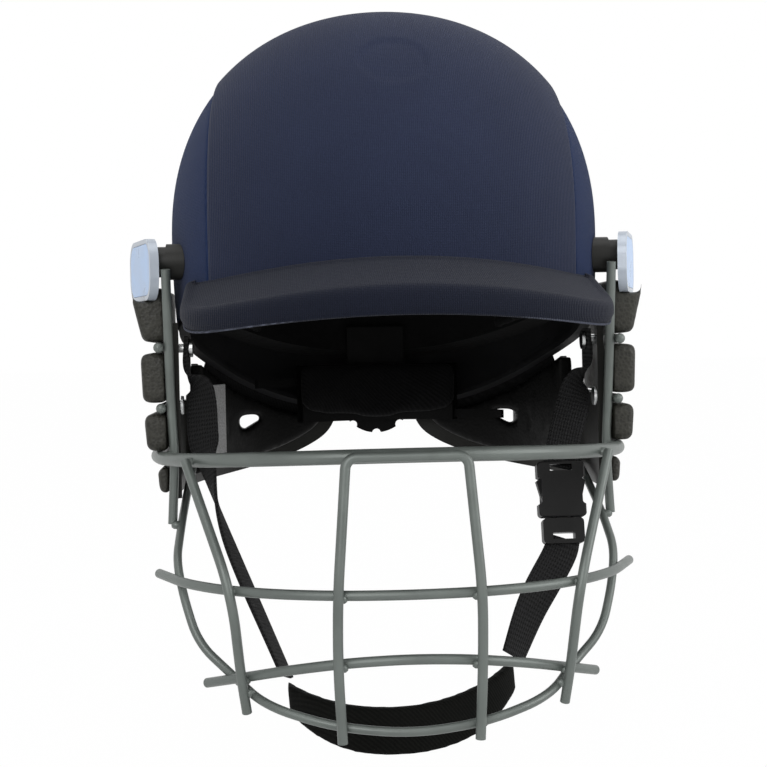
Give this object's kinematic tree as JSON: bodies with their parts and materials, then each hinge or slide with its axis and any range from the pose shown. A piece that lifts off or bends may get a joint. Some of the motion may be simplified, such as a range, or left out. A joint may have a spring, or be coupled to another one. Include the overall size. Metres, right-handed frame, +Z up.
{
  "type": "cricket helmet",
  "caption": "Cloth covered batting helmet with a peak, a steel wire face guard, padded ear guards, a nape dial and a chin strap with a side release buckle.",
  "frame": {"origin": "middle of the wearer's head between the ears, at eye level", "axes": "+Z up, -Y the way the face looks, +X the wearer's left"},
  "size_m": [0.2534, 0.306, 0.3439],
  "materials": {
    "navy_cloth": "fine knit",
    "blue_cloth": "fine knit",
    "black_lining": "brushed",
    "shell_plastic": "moulded",
    "edge_binding": "matt",
    "liner_foam": "closed cell foam",
    "guard_plastic": "moulded",
    "pad_leather": "grained",
    "label_cloth": "woven",
    "plate_rim": "satin",
    "plate_blue": "satin",
    "spacer_plastic": "moulded",
    "bright_steel": "polished",
    "painted_steel": "satin",
    "adjuster_plastic": "moulded",
    "webbing": "ribbed weave",
    "cup_fabric": "sewn",
    "buckle_plastic": "moulded"
  },
  "bodies": {
    "helmet": {"brow_pad": "black_lining", "care_label": "label_cloth", "centre_bars": "painted_steel", "cradle_pad": "pad_leather", "cradle_plate": "adjuster_plastic", "crown_disc": "navy_cloth", "crown_pad": "black_lining", "dial_screw": "bright_steel", "ear_guard_left": "guard_plastic", "ear_guard_right": "guard_plastic", "front_panel": "navy_cloth", "guard_screws": "bright_steel", "impact_liner": "liner_foam", "lower_pad_left": "pad_leather", "lower_pad_right": "pad_leather", "middle_pad_left": "pad_leather", "middle_pad_right": "pad_leather", "neck_pad_left": "pad_leather", "neck_pad_right": "pad_leather", "outer_bar_left": "painted_steel", "outer_bar_right": "painted_steel", "peak_core": "shell_plastic", "peak_cover": "navy_cloth", "peak_lining": "black_lining", "perimeter_wire": "painted_steel", "plate_face_left": "plate_blue", "plate_face_right": "plate_blue", "rim_trim": "edge_binding", "second_bar": "painted_steel", "shell": "shell_plastic", "side_bar_left": "painted_steel", "side_bar_right": "painted_steel", "side_panel_left": "blue_cloth", "side_panel_right": "blue_cloth", "side_plate_left": "plate_rim", "side_plate_right": "plate_rim", "side_wires": "painted_steel", "spacer_left": "spacer_plastic", "spacer_right": "spacer_plastic", "strap_pins": "bright_steel", "tail_pad_left": "pad_leather", "tail_pad_right": "pad_leather", "tee_nuts": "bright_steel", "temple_pad_left": "black_lining", "temple_pad_right": "black_lining", "third_bar": "painted_steel", "top_bar": "painted_steel", "upper_pad_left": "pad_leather", "upper_pad_right": "pad_leather"},
    "dial": {"dial": "adjuster_plastic"},
    "left_band": {"rack_band_left": "adjuster_plastic"},
    "right_band": {"rack_band_right": "adjuster_plastic"},
    "chin_strap": {"buckle_strap": "webbing", "long_strap": "webbing", "lower_strap": "webbing", "chin_cup": "cup_fabric", "buckle_socket": "buckle_plastic"},
    "plug": {"buckle_plug": "buckle_plastic"},
    "left_prong": {"prong_left": "buckle_plastic"},
    "right_prong": {"prong_right": "buckle_plastic"}
  },
  "joints": [
    {"name": "dial_turn", "type": "hinge", "parent": "helmet", "child": "dial", "pos_m": [0, 0.1, -0.018], "axis": [0, 1, 0], "range_deg": [-108, 108]},
    {"name": "left_band_slide", "type": "hinge", "parent": "helmet", "child": "left_band", "pos_m": [0, 0.015, -0.018], "axis": [0, 0, 1], "range_deg": [-8.5, 8.5]},
    {"name": "right_band_slide", "type": "hinge", "parent": "helmet", "child": "right_band", "pos_m": [0, 0.015, -0.018], "axis": [0, 0, 1], "range_deg": [-8.5, 8.5]},
    {"name": "chin_strap_swing", "type": "hinge", "parent": "helmet", "child": "chin_strap", "pos_m": [0, -0.026, 0.012], "axis": [1, 0, 0], "range_deg": [-4, 30]},
    {"name": "buckle_release", "type": "slide", "parent": "chin_strap", "child": "plug", "axis": [0, -0.225, -0.9744], "range_m": [0, 0.022], "deforming": ["lower_strap"]},
    {"name": "left_prong_bend", "type": "hinge", "parent": "plug", "child": "left_prong", "pos_m": [0.0857, -0.05662, -0.07201], "axis": [0, 0.9744, -0.225], "range_deg": [-12.5, 0]},
    {"name": "right_prong_bend", "type": "hinge", "parent": "plug", "child": "right_prong", "pos_m": [0.0723, -0.05662, -0.07201], "axis": [0, 0.9744, -0.225], "range_deg": [0, 12.5]}
  ],
  "couplings": [
    {"joint": "left_band_slide", "follows": "dial_turn", "ratio": 0.075},
    {"joint": "right_band_slide", "follows": "dial_turn", "ratio": -0.075},
    {"joint": "left_prong_bend", "follows": "buckle_release", "rad_per_m": -9.52},
    {"joint": "right_prong_bend", "follows": "buckle_release", "rad_per_m": 9.52}
  ]
}
